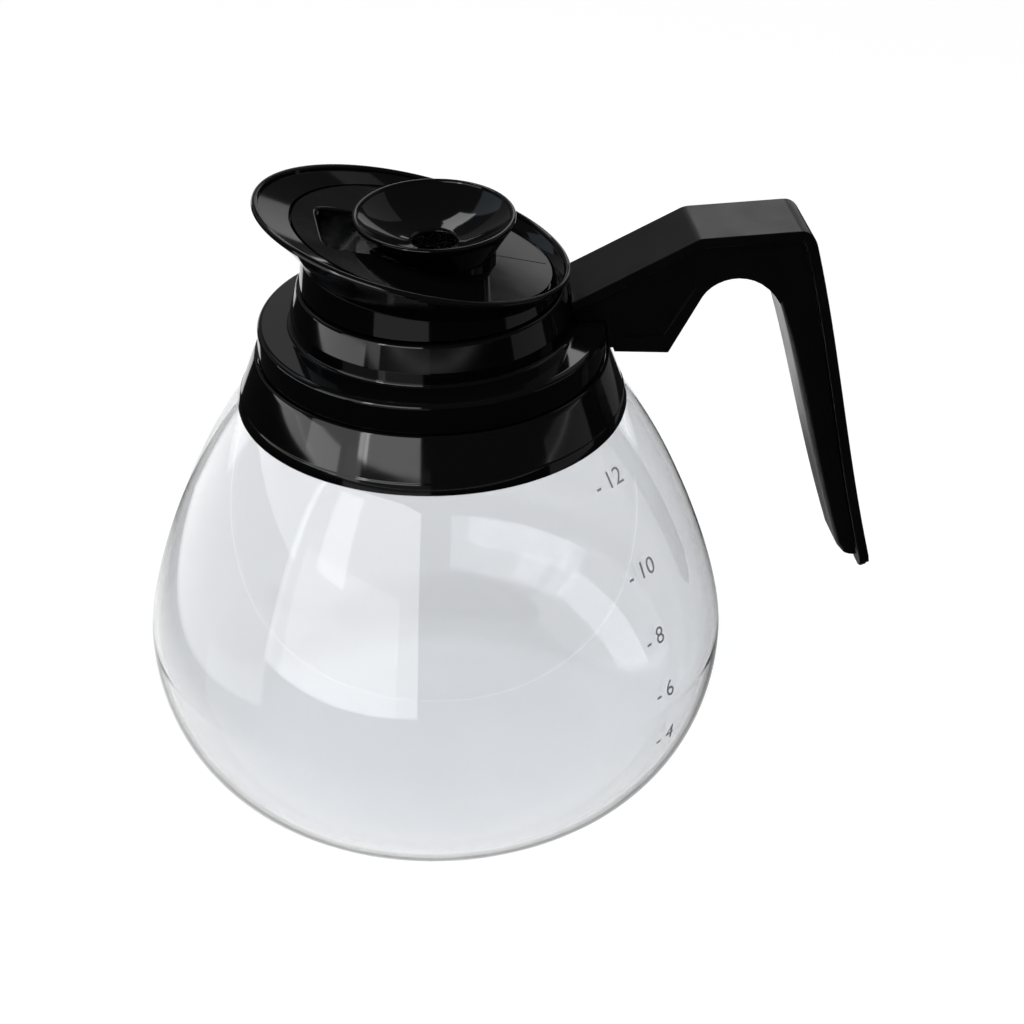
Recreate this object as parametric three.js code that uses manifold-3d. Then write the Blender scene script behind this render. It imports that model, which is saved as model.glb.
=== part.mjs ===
// Glass coffee decanter: a round glass bowl, a black plastic collar and pour funnel, a lift-out
// brew-through lid and a hooked side handle. Millimetres, +Z up. The origin is the centre of the
// flat glass base; +X points to the handle and -X to the pouring lip.
import * as THREE from 'three';
import { mergeVertices } from 'three/addons/utils/BufferGeometryUtils.js';
import Module from 'manifold-3d';

// Fits and facets
const GAP = 0.3; // between two pieces that touch
const RING_SIDES = 48; // facets round the bowl, collar and funnel
const HOLE_SIDES = 20; // facets round screws and bores

// Glass bowl
const BOWL_RADIUS = 82.5; // at its widest
const BASE_RADIUS = 46; // flat underside
const WIDEST_HEIGHT = 47.6; // of the widest ring above the base
const SHOULDER_RADIUS = 53.9; // where the collar's foot sits
const SHOULDER_HEIGHT = 120.8;
const SHOULDER_SLOPE = THREE.MathUtils.degToRad(53.3); // of the glass under the collar
const GLASS_WALL = 2.2;
const BASE_WALL = 3;
const MOUTH_BEAD = 0.7; // how far the rolled mouth stands out of the neck

// Collar: a flared skirt below and a ring with a neck above
const SKIRT_HEIGHT = 15.3;
const SKIRT_WALL = 2.2;
const SKIRT_LIP = 3.3; // height of the plain band at the skirt's foot
const SKIRT_LIP_STEP = 0.6; // how far that band stands out
const SKIRT_TOP_WALL = 1;
const RING_RADIUS = 48.5;
const RING_HEIGHT = 8.9; // from the skirt's top edge to the shoulder
const RING_WALL = 2.2;
const RING_SLEEVE = 3.5; // the ring reaches this far down inside the skirt
const RING_EDGE = 2; // rounding of the shoulder's outer edge
const NECK_RADIUS = 37; // of the collar's neck
const NECK_HEIGHT = 11.7; // above the shoulder
const NECK_WALL = 2.4;
const NECK_TAPER = 1.4; // the neck is this much wider at its foot
const NECK_FILLET = 4.5;
const NECK_EDGE = 0.8;

// Clamp round the glass neck
const BAND_THICKNESS = 0.7;
const BAND_CLEARANCE = 1; // to the inside of the collar ring
const CUSHION_THICKNESS = 0.6;
const EAR_SPLIT = 2.4; // between the two ears of the band
const EAR_LENGTH = 10; // beyond the band
const GASKET_THICKNESS = 0.9;
const GASKET_WIDTH = 6;

// Funnel: a slanted oval rim on a round throat
const RIM_LENGTH = 89.4; // along the slope
const RIM_WIDTH = 79.4;
const RIM_TILT = THREE.MathUtils.degToRad(15.1); // the lip is the high side
const RIM_SHIFT = -4.5; // of the rim's centre, towards the lip
const RIM_RISE = 15.6; // of the rim's centre above the collar
const RIM_THICKNESS = 2.2;
const RIM_ROUND = 0.7;
const WALL_SHARE = 0.38; // share of the funnel's height below the flare
const WALL_TAPER = 0.6; // that part narrows by this towards the flare
const FLARE_STEPS = 4; // rings of facets in the flared wall
const FLARE_OUT = 0.13; // the flare's control point, as a share of its width
const FLARE_UP = 0.3; // and of its height
const THROAT_RADIUS = 31;
const THROAT_DEPTH = 18; // of the throat tube below the collar's top
const SNAP_BEAD = 0.9; // on the throat tube, under the collar ring

// Lid: a slanted plate with a pour slot, and a drip cup in its boss
const PLATE_LENGTH = 73;
const PLATE_WIDTH = 67;
const PLATE_SHIFT = 3.4; // along the slope, from the rim's centre
const PLATE_DEPTH = 3.1; // of its top below the rim
const PLATE_THICKNESS = 1.9;
const SEAT_DRAFT = 0.6; // the seat's wall leans out by this, so the lid lifts straight up
const SLOT_WIDTH = 25;
const SLOT_MARGIN = 7.5; // from the slot to the plate's edge on the lip side
const CUP_SHIFT = 1.2; // of the cup's axis from the bowl's, towards the handle
const CUP_RADIUS = 22.2;
const CUP_RIM_RISE = 20.4; // of the cup's rim above the collar's top
const CUP_HEIGHT = 9.7; // of the flared part
const CUP_NECK = 17; // radius where the flare meets the boss
const CUP_WALL = 1.4;
const CUP_HOLE = 6; // radius of the drip hole
const CUP_SLOPE = THREE.MathUtils.degToRad(27); // of the cone inside it
const STEM_WALL = 2;
const STEM_LENGTH = 12.5;
const BOSS_WALL = 1.6;

// Handle: an inner body and an outer spine strip
const HANDLE_WIDTH = 21;
const SPINE_THICKNESS = 3;
const BODY_WIDTH = 18;
const HANDLE_BEVEL = 0.9;
const SPINE_EDGE = 0.7;
const BEAM_RISE = 16.6; // of the handle's top panel, from the spine's root at the neck
const BEAM_SLOPE = THREE.MathUtils.degToRad(25);
const PANEL_HEIGHT = 23.6; // above the collar's shoulder
const PANEL_LENGTH = 30.2;
const PANEL_CORNER = 6;
const BEND = 3.6; // how far the bend into the panel starts before the corner
const GRIP_REACH = 23.5; // the tip stands this far beyond the panel's corner
const GRIP_DROP = 111.5; // from the panel's corner to the tip
const GRIP_CURVE = [[0.364, 0.305], [0.548, 0.64]]; // its control points, as shares of reach and drop
const GRIP_STEPS = 14; // facets down the grip
const UNDERSIDE_DROP = 9.8; // of the beam's underside below the shoulder, at the collar
const UNDERSIDE_FALL = 1.8; // and from there to its outer end
const UNDERSIDE_LENGTH = 16.5; // beyond the collar ring
const ARCH_SPAN = 22.4;
const ARCH_SHIFT = 1.6; // the arch starts this far beyond the bend of the beam
const ARCH_DEPTH = 13; // of the handle's section at the crown of the arch
const GRIP_DEPTH = 8.4; // of the inner tongue at mid grip
const TONGUE_SHORT = 6.3; // the tongue ends this far above the spine's tip
const TONGUE_ROUND = 7; // height of the tongue's rounded end
const TIP_WIDTH = 15; // of the spine, where its tip starts to round off
const TIP_END = THREE.MathUtils.degToRad(64); // how far round its end the tip goes
const TONGUE_NARROW = 0.6; // share of its width that the tongue keeps at its inner edge
const POCKET_DEPTH = 0.7; // of the shallow panel in each side of the beam
const POCKET_BORDER = 3.6;

// Screws
const SCREW_RADIUS = 1.5;
const SCREW_HEAD = 2.8;
const SCREW_HEAD_HEIGHT = 2;
const SCREW_SLOT = 0.8;
const BORE_CLEARANCE = 0.35;
const NUT_FLATS = 5.5;
const NUT_HEIGHT = 2.4;
const CLAMP_FLOOR = 2.4; // plastic between a screw head and what it pulls on
const SPINE_BOSS = 3.5; // radius of the spine's screw bosses
const SPINE_BOSS_LENGTH = 5;

// Heights and radii that follow
const skirtTop = SHOULDER_HEIGHT + SKIRT_HEIGHT;
const shoulderTop = skirtTop + RING_HEIGHT;
const shoulderUnder = shoulderTop - RING_WALL;
const collarTop = shoulderTop + NECK_HEIGHT;
const sleeveFoot = skirtTop - RING_SLEEVE;
const gasketTop = shoulderUnder - GAP;
const mouthHeight = gasketTop - GASKET_THICKNESS - GAP;
const ringInside = RING_RADIUS - RING_WALL;
const bandOutside = ringInside - BAND_CLEARANCE;
const bandInside = bandOutside - BAND_THICKNESS;
const cushionInside = bandInside - GAP - CUSHION_THICKNESS;
const glassNeck = cushionInside - GAP;
const beadHeight = 2 * MOUTH_BEAD;
const bandTop = mouthHeight - beadHeight - GAP;
const bandFoot = skirtTop + GAP;
const earTop = shoulderUnder - 2 * GAP;
const tubeOutside = NECK_RADIUS - NECK_WALL - GAP;
const rimCentre = new THREE.Vector3(RIM_SHIFT, 0, collarTop + RIM_RISE);

const wasm = await Module();
wasm.setup();

// A solid of triangles with shared corners, ready to be joined or cut
function solid(geometry) {
  const bare = geometry.clone();
  bare.deleteAttribute('normal');
  bare.deleteAttribute('uv');
  const merged = mergeVertices(bare, 1e-4);
  const index = merged.index.array;
  const triangles = [];
  for (let i = 0; i < index.length; i += 3) {
    const [a, b, c] = [index[i], index[i + 1], index[i + 2]];
    if (a !== b && b !== c && c !== a) triangles.push(a, b, c);
  }
  return new wasm.Manifold(new wasm.Mesh({
    numProp: 3,
    vertProperties: new Float32Array(merged.attributes.position.array),
    triVerts: new Uint32Array(triangles),
  }));
}

function geometryOf(manifold) {
  const mesh = manifold.getMesh();
  const geometry = new THREE.BufferGeometry();
  geometry.setAttribute('position', new THREE.BufferAttribute(mesh.vertProperties, 3));
  geometry.setIndex(new THREE.BufferAttribute(mesh.triVerts, 1));
  geometry.computeVertexNormals();
  return geometry;
}

// Turn a profile of [radius, height] pairs about Z. It runs up the outside and down the inside.
function turned(profile, closed = true, sides = RING_SIDES) {
  const points = profile.map(([radius, height]) => new THREE.Vector2(radius, height));
  if (closed) points.push(points[0].clone());
  return new THREE.LatheGeometry(points, sides).rotateX(Math.PI / 2);
}

// Corner points of a quarter round from one direction to another, as [radius, height] pairs
function arc(centre, radii, from, to, steps) {
  const points = [];
  for (let i = 0; i <= steps; i += 1) {
    const angle = THREE.MathUtils.degToRad(from + ((to - from) * i) / steps);
    points.push([centre[0] + radii[0] * Math.cos(angle), centre[1] + radii[1] * Math.sin(angle)]);
  }
  return points;
}

// A plate in the XZ plane, bevelled round its edge and centred on Y = 0
function plateXZ(shape, width, bevel, curveSegments) {
  return new THREE.ExtrudeGeometry(shape, {
    depth: width - 2 * bevel,
    bevelEnabled: bevel > 0,
    bevelThickness: bevel,
    bevelSize: bevel,
    bevelOffset: -bevel,
    bevelSegments: 2,
    curveSegments,
  }).translate(0, 0, bevel - width / 2).rotateX(Math.PI / 2);
}

function rod(radius, from, to, sides = HOLE_SIDES) {
  return new THREE.CylinderGeometry(radius, radius, to - from, sides)
    .rotateX(Math.PI / 2).translate(0, 0, (from + to) / 2);
}

function block(from, to) {
  const size = to.clone().sub(from);
  const middle = from.clone().add(to).multiplyScalar(0.5);
  return new THREE.BoxGeometry(size.x, size.y, size.z).translate(middle.x, middle.y, middle.z);
}

// Slotted screw along +Z, its head's underside at Z = 0 and its tip at Z = length
function screw(length) {
  const chamfer = SCREW_RADIUS / 3;
  const round = SCREW_HEAD_HEIGHT / 3;
  const profile = [
    [0, -SCREW_HEAD_HEIGHT], [SCREW_HEAD - round, -SCREW_HEAD_HEIGHT],
    [SCREW_HEAD, -SCREW_HEAD_HEIGHT + round], [SCREW_HEAD, 0], [SCREW_RADIUS, 0],
    [SCREW_RADIUS, length - chamfer], [SCREW_RADIUS - chamfer, length], [0, length],
  ];
  const slot = block(
    new THREE.Vector3(-SCREW_HEAD - GAP, -SCREW_SLOT / 2, -SCREW_HEAD_HEIGHT - GAP),
    new THREE.Vector3(SCREW_HEAD + GAP, SCREW_SLOT / 2, -SCREW_HEAD_HEIGHT + SCREW_SLOT),
  );
  return solid(turned(profile, false, HOLE_SIDES)).subtract(solid(slot));
}

// Finishes, as colour, roughness and metalness
const glass = { color: 0xdde3e6, roughness: 0.05, metalness: 0, transparent: true, opacity: 0.35 };
const blackGloss = { color: 0x0b0b0c, roughness: 0.15, metalness: 0 };
const blackSatin = { color: 0x101010, roughness: 0.4, metalness: 0 };
const silicone = { color: 0x8d9093, roughness: 0.7, metalness: 0 };
const steel = { color: 0xb9bcc0, roughness: 0.35, metalness: 1 };

const decanter = new THREE.Group();

function add(name, geometry, finish, parent = decanter) {
  const mesh = new THREE.Mesh(geometry, new THREE.MeshStandardMaterial(finish));
  mesh.name = name;
  parent.add(mesh);
  return mesh;
}

// Glass bowl: flat base, elliptical lower side, one curve up to the collar and one to the neck
const slopeOut = new THREE.Vector2(Math.cos(SHOULDER_SLOPE), -Math.sin(SHOULDER_SLOPE));
const bowlRise = SHOULDER_HEIGHT - WIDEST_HEIGHT;
const shoulderPoint = new THREE.Vector2(SHOULDER_RADIUS, SHOULDER_HEIGHT);
const bowlSide = new THREE.CubicBezierCurve(
  new THREE.Vector2(BOWL_RADIUS, WIDEST_HEIGHT),
  new THREE.Vector2(BOWL_RADIUS, WIDEST_HEIGHT + bowlRise / 5),
  shoulderPoint.clone().addScaledVector(slopeOut, bowlRise / 3),
  shoulderPoint,
);
const neckRise = sleeveFoot - SHOULDER_HEIGHT;
const bowlNeck = new THREE.CubicBezierCurve(
  shoulderPoint,
  shoulderPoint.clone().addScaledVector(slopeOut, -neckRise / 2),
  new THREE.Vector2(glassNeck, sleeveFoot - neckRise / 2),
  new THREE.Vector2(glassNeck, sleeveFoot),
);

function heightOnGlass(radius) {
  let low = 0;
  let high = 1;
  for (let i = 0; i < 40; i += 1) {
    const middle = (low + high) / 2;
    if (bowlNeck.getPoint(middle).x > radius) low = middle;
    else high = middle;
  }
  return bowlNeck.getPoint(low).y;
}

const bowlOutside = [
  ...arc([BASE_RADIUS, WIDEST_HEIGHT], [BOWL_RADIUS - BASE_RADIUS, WIDEST_HEIGHT], -90, 0, 8),
  ...bowlSide.getPoints(7).slice(1).map((p) => p.toArray()),
  ...bowlNeck.getPoints(4).slice(1).map((p) => p.toArray()),
];
const bowlInside = bowlOutside.map(([radius, height], i) => {
  const before = bowlOutside[Math.max(i - 1, 0)];
  const after = bowlOutside[Math.min(i + 1, bowlOutside.length - 1)];
  const along = new THREE.Vector2(after[0] - before[0], after[1] - before[1]).normalize();
  return [radius - along.y * GLASS_WALL, height + along.x * GLASS_WALL];
}).filter(([, height]) => height > BASE_WALL + GLASS_WALL);
const neckInside = glassNeck - GLASS_WALL;
const beadFoot = mouthHeight - beadHeight;
add('glass_bowl', turned([
  [0, 0], ...bowlOutside, [glassNeck, beadFoot],
  [glassNeck + MOUTH_BEAD, beadFoot + MOUTH_BEAD / 2],
  [glassNeck + MOUTH_BEAD, mouthHeight - MOUTH_BEAD / 2], [glassNeck, mouthHeight],
  [neckInside + MOUTH_BEAD, mouthHeight], [neckInside, mouthHeight - MOUTH_BEAD],
  ...bowlInside.reverse(), [BASE_RADIUS, BASE_WALL], [0, BASE_WALL],
], false), glass);

// Silicone cushion, steel band and gasket at the glass neck
const cushionOutside = cushionInside + CUSHION_THICKNESS;
add('neck_cushion', turned([
  [cushionInside, skirtTop], [cushionOutside, skirtTop],
  [cushionOutside, bandTop + GAP / 2], [cushionInside, bandTop + GAP / 2],
]), silicone);

const earOutside = EAR_SPLIT / 2 + BAND_THICKNESS;
const earEnd = bandOutside + EAR_LENGTH;
const clampScrewX = earEnd - SCREW_HEAD;
const clampScrewZ = (bandFoot + earTop) / 2;
const bandShape = new THREE.Shape();
const outerAngle = Math.asin(earOutside / bandOutside);
const innerAngle = Math.asin(EAR_SPLIT / 2 / bandInside);
bandShape.moveTo(earEnd, earOutside);
bandShape.absarc(0, 0, bandOutside, outerAngle, 2 * Math.PI - outerAngle, false);
bandShape.lineTo(earEnd, -earOutside);
bandShape.lineTo(earEnd, -EAR_SPLIT / 2);
bandShape.absarc(0, 0, bandInside, 2 * Math.PI - innerAngle, innerAngle, true);
bandShape.lineTo(earEnd, EAR_SPLIT / 2);
const band = new THREE.ExtrudeGeometry(bandShape, {
  depth: bandTop - bandFoot, bevelEnabled: false, curveSegments: RING_SIDES,
}).translate(0, 0, bandFoot);
const boreRadius = SCREW_RADIUS + BORE_CLEARANCE;
const clampBore = rod(boreRadius, -HANDLE_WIDTH, HANDLE_WIDTH)
  .rotateX(Math.PI / 2).translate(clampScrewX, 0, clampScrewZ);
let clampBand = solid(band);
for (const side of [-1, 1]) {
  const [low, high] = [(side * EAR_SPLIT) / 2, side * earOutside].sort((a, b) => a - b);
  const ear = block(
    new THREE.Vector3(ringInside + GAP, low, bandFoot), new THREE.Vector3(earEnd, high, earTop),
  );
  clampBand = clampBand.add(solid(ear));
}
add('neck_band', geometryOf(clampBand.subtract(solid(clampBore))), steel);

const gasketOutside = ringInside - GAP;
add('mouth_gasket', turned([
  [gasketOutside - GASKET_WIDTH, gasketTop - GASKET_THICKNESS], [gasketOutside, gasketTop - GASKET_THICKNESS],
  [gasketOutside, gasketTop], [gasketOutside - GASKET_WIDTH, gasketTop],
]), silicone);

// Collar skirt: its foot follows the glass and its top edge takes the ring's sleeve
const skirtFoot = SHOULDER_RADIUS + GAP;
const skirtFootInside = skirtFoot - SKIRT_WALL;
const skirtTopInside = RING_RADIUS + GAP;
const skirtTopOutside = skirtTopInside + SKIRT_TOP_WALL;
const lipTop = SHOULDER_HEIGHT + SKIRT_LIP;
const skirtFootRise = heightOnGlass(skirtFootInside - GAP) + GAP / 2;
add('collar_skirt', turned([
  [skirtFoot, SHOULDER_HEIGHT], [skirtFoot, lipTop - SKIRT_LIP_STEP / 2],
  [skirtFoot - SKIRT_LIP_STEP, lipTop], [skirtTopOutside, skirtTop - SKIRT_TOP_WALL / 2],
  [skirtTopOutside - SKIRT_TOP_WALL / 3, skirtTop], [skirtTopInside, skirtTop],
  [skirtTopInside, sleeveFoot], [skirtFootInside, skirtFootRise],
]), blackGloss);

// Collar ring: sleeve, wall, flat shoulder and neck, with a window for the band's ears
const neckInsideRadius = NECK_RADIUS - NECK_WALL;
const filletCentre = [NECK_RADIUS + NECK_TAPER + NECK_FILLET, shoulderTop + NECK_FILLET];
const ringSolid = solid(turned([
  [RING_RADIUS, sleeveFoot],
  ...arc([RING_RADIUS - RING_EDGE, shoulderTop - RING_EDGE], [RING_EDGE, RING_EDGE], 0, 90, 3),
  ...arc(filletCentre, [NECK_FILLET, NECK_FILLET], 270, 180, 4),
  ...arc([NECK_RADIUS - NECK_EDGE, collarTop - NECK_EDGE], [NECK_EDGE, NECK_EDGE], 0, 90, 2),
  [neckInsideRadius, collarTop], [neckInsideRadius, shoulderUnder],
  [ringInside, shoulderUnder], [ringInside, sleeveFoot],
]));
const earWindow = block(
  new THREE.Vector3(ringInside - RING_WALL, -earOutside - GAP, bandFoot - GAP),
  new THREE.Vector3(RING_RADIUS + RING_WALL, earOutside + GAP, earTop + GAP),
);
add('collar_ring', geometryOf(ringSolid.subtract(solid(earWindow))), blackGloss);

// Points on the funnel's own slope: along it, across it and below the plane of the rim
function onSlope(along, across, below) {
  return new THREE.Vector3(
    rimCentre.x + along * Math.cos(RIM_TILT) - below * Math.sin(RIM_TILT),
    across,
    rimCentre.z - along * Math.sin(RIM_TILT) - below * Math.cos(RIM_TILT),
  );
}

function slopeHeight(x, below) {
  return rimCentre.z - (x - rimCentre.x) * Math.tan(RIM_TILT) - below / Math.cos(RIM_TILT);
}

function ring(pointAt) {
  const points = [];
  for (let i = 0; i < RING_SIDES; i += 1) points.push(pointAt((2 * Math.PI * i) / RING_SIDES));
  return points;
}

function ovalRing(shift, length, width, below) {
  return ring((a) => onSlope(shift + (length / 2) * Math.cos(a), (width / 2) * Math.sin(a), below));
}

function roundRing(radius, height) {
  return ring((a) => new THREE.Vector3(radius * Math.cos(a), radius * Math.sin(a), height));
}

// Skin rings of points into one closed body: up the outside, then down the inside to the start
function skinned(rings) {
  const positions = rings.flat().flatMap((p) => p.toArray());
  const index = [];
  for (let j = 0; j < rings.length; j += 1) {
    const above = (j + 1) % rings.length;
    for (let i = 0; i < RING_SIDES; i += 1) {
      const next = (i + 1) % RING_SIDES;
      const [a, b] = [j * RING_SIDES + i, j * RING_SIDES + next];
      const [c, d] = [above * RING_SIDES + i, above * RING_SIDES + next];
      index.push(a, b, c, b, d, c);
    }
  }
  const geometry = new THREE.BufferGeometry();
  geometry.setAttribute('position', new THREE.Float32BufferAttribute(positions, 3));
  geometry.setIndex(index);
  geometry.computeVertexNormals();
  return geometry;
}

// Pour funnel: throat tube, step on the collar, flared wall, rounded rim and the lid's seat
const funnelFoot = collarTop + GAP;
const wallRadius = NECK_RADIUS - NECK_EDGE - GAP;
const flareRadius = wallRadius - WALL_TAPER;
const seatDepth = PLATE_DEPTH + PLATE_THICKNESS + GAP;
const seatLength = PLATE_LENGTH + 2 * GAP;
const seatWidth = PLATE_WIDTH + 2 * GAP;
const wallTop = ovalRing(0, RIM_LENGTH, RIM_WIDTH, 2 * RIM_ROUND);
const wallStart = ring((a) => {
  const x = flareRadius * Math.cos(a);
  const rise = (slopeHeight(x, 0) - funnelFoot) * WALL_SHARE;
  return new THREE.Vector3(x, flareRadius * Math.sin(a), funnelFoot + rise);
});
const flare = [];
for (let step = 1; step < FLARE_STEPS; step += 1) {
  flare.push(wallStart.map((start, i) => {
    const end = wallTop[i];
    const control = new THREE.Vector3(
      THREE.MathUtils.lerp(start.x, end.x, FLARE_OUT),
      THREE.MathUtils.lerp(start.y, end.y, FLARE_OUT),
      THREE.MathUtils.lerp(start.z, end.z, FLARE_UP),
    );
    return new THREE.QuadraticBezierCurve3(start, control, end).getPoint(step / FLARE_STEPS);
  }));
}
const rimInset = (inset, below) => ovalRing(0, RIM_LENGTH - 2 * inset, RIM_WIDTH - 2 * inset, below);
const snapTop = shoulderUnder - GAP;
const tubeFoot = collarTop - THROAT_DEPTH;
add('pour_funnel', skinned([
  roundRing(tubeOutside, tubeFoot), roundRing(tubeOutside, snapTop - 2 * SNAP_BEAD),
  roundRing(tubeOutside + SNAP_BEAD, snapTop - SNAP_BEAD), roundRing(tubeOutside, snapTop),
  roundRing(tubeOutside, funnelFoot), roundRing(wallRadius, funnelFoot),
  wallStart, ...flare, wallTop,
  rimInset(0, RIM_ROUND), rimInset(RIM_ROUND, 0), rimInset(RIM_THICKNESS - RIM_ROUND, 0),
  rimInset(RIM_THICKNESS, RIM_ROUND),
  ovalRing(PLATE_SHIFT, seatLength + 2 * SEAT_DRAFT, seatWidth + 2 * SEAT_DRAFT, PLATE_DEPTH),
  ovalRing(PLATE_SHIFT, seatLength, seatWidth, seatDepth),
  ring((a) => {
    const x = THROAT_RADIUS * Math.cos(a);
    return new THREE.Vector3(x, THROAT_RADIUS * Math.sin(a), slopeHeight(x, seatDepth));
  }),
  roundRing(THROAT_RADIUS, tubeFoot),
]), blackGloss);

// Lid: the plate lies on the funnel's slope and its upright boss holds the drip cup
const lid = new THREE.Group();
decanter.add(lid);
const cupRim = collarTop + CUP_RIM_RISE;
const cupFoot = cupRim - CUP_HEIGHT;
const stemRadius = CUP_NECK - BOSS_WALL - GAP;
const plateShape = new THREE.Shape();
plateShape.absellipse(PLATE_SHIFT, 0, PLATE_LENGTH / 2, PLATE_WIDTH / 2, 0, 2 * Math.PI, false);
const plate = new THREE.ExtrudeGeometry(plateShape, {
  depth: PLATE_THICKNESS, bevelEnabled: false, curveSegments: RING_SIDES / 2,
}).translate(0, 0, -PLATE_DEPTH - PLATE_THICKNESS).rotateY(RIM_TILT)
  .translate(rimCentre.x, rimCentre.y, rimCentre.z);
const plateFoot = slopeHeight(CUP_SHIFT + CUP_NECK, PLATE_DEPTH + PLATE_THICKNESS);
const boss = rod(CUP_NECK, plateFoot, cupFoot - GAP, RING_SIDES).translate(CUP_SHIFT, 0, 0);
const bossBore = rod(stemRadius + GAP, plateFoot - CUP_HEIGHT, cupRim, RING_SIDES).translate(CUP_SHIFT, 0, 0);
const cupRoom = turned([
  [0, cupFoot - GAP], [CUP_NECK + GAP, cupFoot - GAP], [CUP_RADIUS + GAP, cupRim - CUP_WALL],
  [CUP_RADIUS + GAP, cupRim], [0, cupRim],
], false).translate(CUP_SHIFT, 0, 0);
const slotEnd = PLATE_SHIFT - PLATE_LENGTH / 2 + SLOT_MARGIN;
const slotStart = (CUP_SHIFT - CUP_NECK - rimCentre.x) / Math.cos(RIM_TILT);
const slotRound = SLOT_WIDTH / 5;
const slotShape = new THREE.Shape();
slotShape.moveTo(slotStart, SLOT_WIDTH / 2);
slotShape.lineTo(slotEnd + slotRound, SLOT_WIDTH / 2);
slotShape.quadraticCurveTo(slotEnd, SLOT_WIDTH / 2, slotEnd, SLOT_WIDTH / 2 - slotRound);
slotShape.lineTo(slotEnd, slotRound - SLOT_WIDTH / 2);
slotShape.quadraticCurveTo(slotEnd, -SLOT_WIDTH / 2, slotEnd + slotRound, -SLOT_WIDTH / 2);
slotShape.lineTo(slotStart, -SLOT_WIDTH / 2);
const slot = new THREE.ExtrudeGeometry(slotShape, {
  depth: 4 * PLATE_THICKNESS, bevelEnabled: false, curveSegments: 4,
}).translate(0, 0, -PLATE_DEPTH - 2.5 * PLATE_THICKNESS).rotateY(RIM_TILT)
  .translate(rimCentre.x, rimCentre.y, rimCentre.z);
add('lid_plate', geometryOf(
  solid(plate).add(solid(boss)).subtract(solid(bossBore)).subtract(solid(cupRoom)).subtract(solid(slot)),
), blackGloss, lid);

const coneFoot = cupRim - (CUP_RADIUS - CUP_WALL - CUP_HOLE) * Math.tan(CUP_SLOPE);
add('drip_cup', turned([
  [stemRadius, cupFoot - STEM_LENGTH], [stemRadius, cupFoot], [CUP_NECK, cupFoot],
  [CUP_RADIUS, cupRim - CUP_WALL], [CUP_RADIUS, cupRim - CUP_WALL / 3],
  [CUP_RADIUS - CUP_WALL / 3, cupRim], [CUP_RADIUS - CUP_WALL, cupRim - CUP_WALL / 3],
  [CUP_HOLE, coneFoot], [CUP_HOLE, cupFoot + CUP_WALL / 2],
  [stemRadius - STEM_WALL, cupFoot - CUP_WALL / 2], [stemRadius - STEM_WALL, cupFoot - STEM_LENGTH],
]), blackGloss, lid).position.setX(CUP_SHIFT);

// Handle outline in the XZ plane: the spine's outer face runs from the neck over the top panel
// and down the grip to the tip
const panelTop = shoulderTop + PANEL_HEIGHT;
const spineRoot = new THREE.Vector2(NECK_RADIUS, panelTop - BEAM_RISE);
const panelStart = new THREE.Vector2(NECK_RADIUS + BEAM_RISE / Math.tan(BEAM_SLOPE), panelTop);
const panelEnd = new THREE.Vector2(panelStart.x + PANEL_LENGTH, panelTop);
const gripStart = new THREE.Vector2(panelEnd.x + PANEL_CORNER / 2, panelTop - PANEL_CORNER * 0.75);
const gripTip = new THREE.Vector2(gripStart.x + GRIP_REACH, gripStart.y - GRIP_DROP);
const panelBend = new THREE.QuadraticBezierCurve(
  new THREE.Vector2(panelStart.x - BEND * Math.cos(BEAM_SLOPE), panelTop - BEND * Math.sin(BEAM_SLOPE)),
  panelStart,
  new THREE.Vector2(panelStart.x + BEND, panelTop),
);
const panelCorner = new THREE.QuadraticBezierCurve(
  new THREE.Vector2(panelEnd.x - PANEL_CORNER / 3, panelTop),
  new THREE.Vector2(panelEnd.x + PANEL_CORNER / 4, panelTop),
  gripStart,
);
const [gripUpper, gripLower] = GRIP_CURVE.map(([reach, drop]) => new THREE.Vector2(
  gripStart.x + GRIP_REACH * reach, gripStart.y - GRIP_DROP * drop,
));
const gripOutside = new THREE.CubicBezierCurve(gripStart, gripUpper, gripLower, gripTip);
const gripPath = [];
for (let i = 1; i <= GRIP_STEPS; i += 1) {
  gripPath.push(gripOutside.getPoint(Math.sin((Math.PI / 2) * (i / GRIP_STEPS))));
}
const spineOutside = [spineRoot, ...panelBend.getPoints(3), ...panelCorner.getPoints(4), ...gripPath];

// The same path moved square to itself, towards the inside of the handle
function inward(path, distance) {
  return path.map((point, i) => {
    const before = path[Math.max(i - 1, 0)];
    const after = path[Math.min(i + 1, path.length - 1)];
    const along = after.clone().sub(before).normalize();
    return new THREE.Vector2(point.x + along.y * distance, point.y - along.x * distance);
  });
}

// Room for the collar, cut out of the handle's root
const collarRoom = solid(turned([
  [0, SHOULDER_HEIGHT], [skirtFoot + GAP, SHOULDER_HEIGHT], [skirtFoot + GAP, lipTop],
  [skirtTopOutside + GAP, skirtTop + GAP], [RING_RADIUS + GAP, skirtTop + GAP],
  ...arc([RING_RADIUS - RING_EDGE, shoulderTop - RING_EDGE], [RING_EDGE + GAP, RING_EDGE + GAP], 0, 90, 3),
  ...arc(filletCentre, [NECK_FILLET - GAP, NECK_FILLET - GAP], 270, 180, 4),
  [NECK_RADIUS + GAP, collarTop], [0, collarTop],
], false));

// Narrow the handle towards its tip, and the tongue towards its inner edge
function narrowed(geometry, share) {
  const position = geometry.attributes.position;
  for (let i = 0; i < position.count; i += 1) {
    const [x, y, z] = [position.getX(i), position.getY(i), position.getZ(i)];
    position.setY(i, y * share(x, z));
  }
  return geometry;
}

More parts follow.
